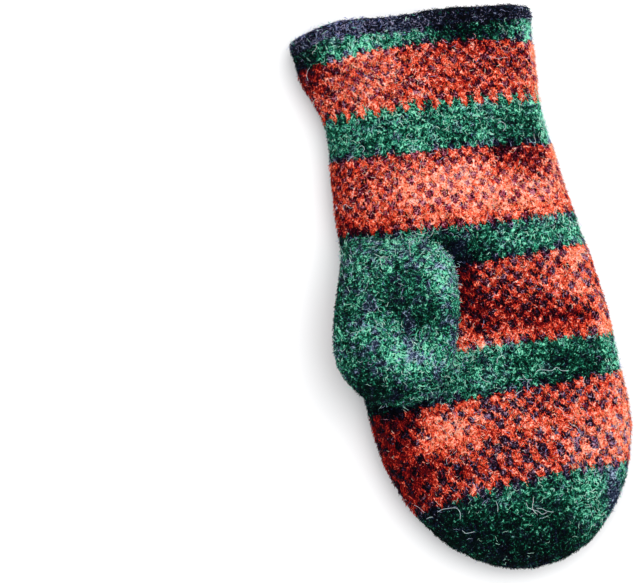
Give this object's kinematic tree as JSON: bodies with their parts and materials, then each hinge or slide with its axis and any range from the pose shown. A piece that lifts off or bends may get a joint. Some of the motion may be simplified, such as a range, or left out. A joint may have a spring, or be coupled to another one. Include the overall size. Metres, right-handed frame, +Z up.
{
  "type": "felted wool mitten",
  "caption": "Thick felted mitten for the right hand, lying palm up: an open tube with a round toe, a thumb folded over the striped palm and a rolled cuff edge.",
  "frame": {"origin": "on the resting surface, below the middle of the whole outline", "axes": "+Y towards the cuff, +Z up out of the palm, +X towards the little finger's side, with the thumb at -X"},
  "size_m": [0.1338, 0.2758, 0.0457],
  "materials": {
    "striped_wool": "felted two-colour knitting: orange bands with navy specks between plain green bands, and flowers on the back",
    "green_wool": "felted knitting in green heather flecked with navy",
    "navy_wool": "felted knitting in charcoal navy heather"
  },
  "bodies": {
    "root": {"hand": "striped_wool", "thumb": "green_wool", "rolled_edge": "navy_wool"}
  },
  "joints": []
}
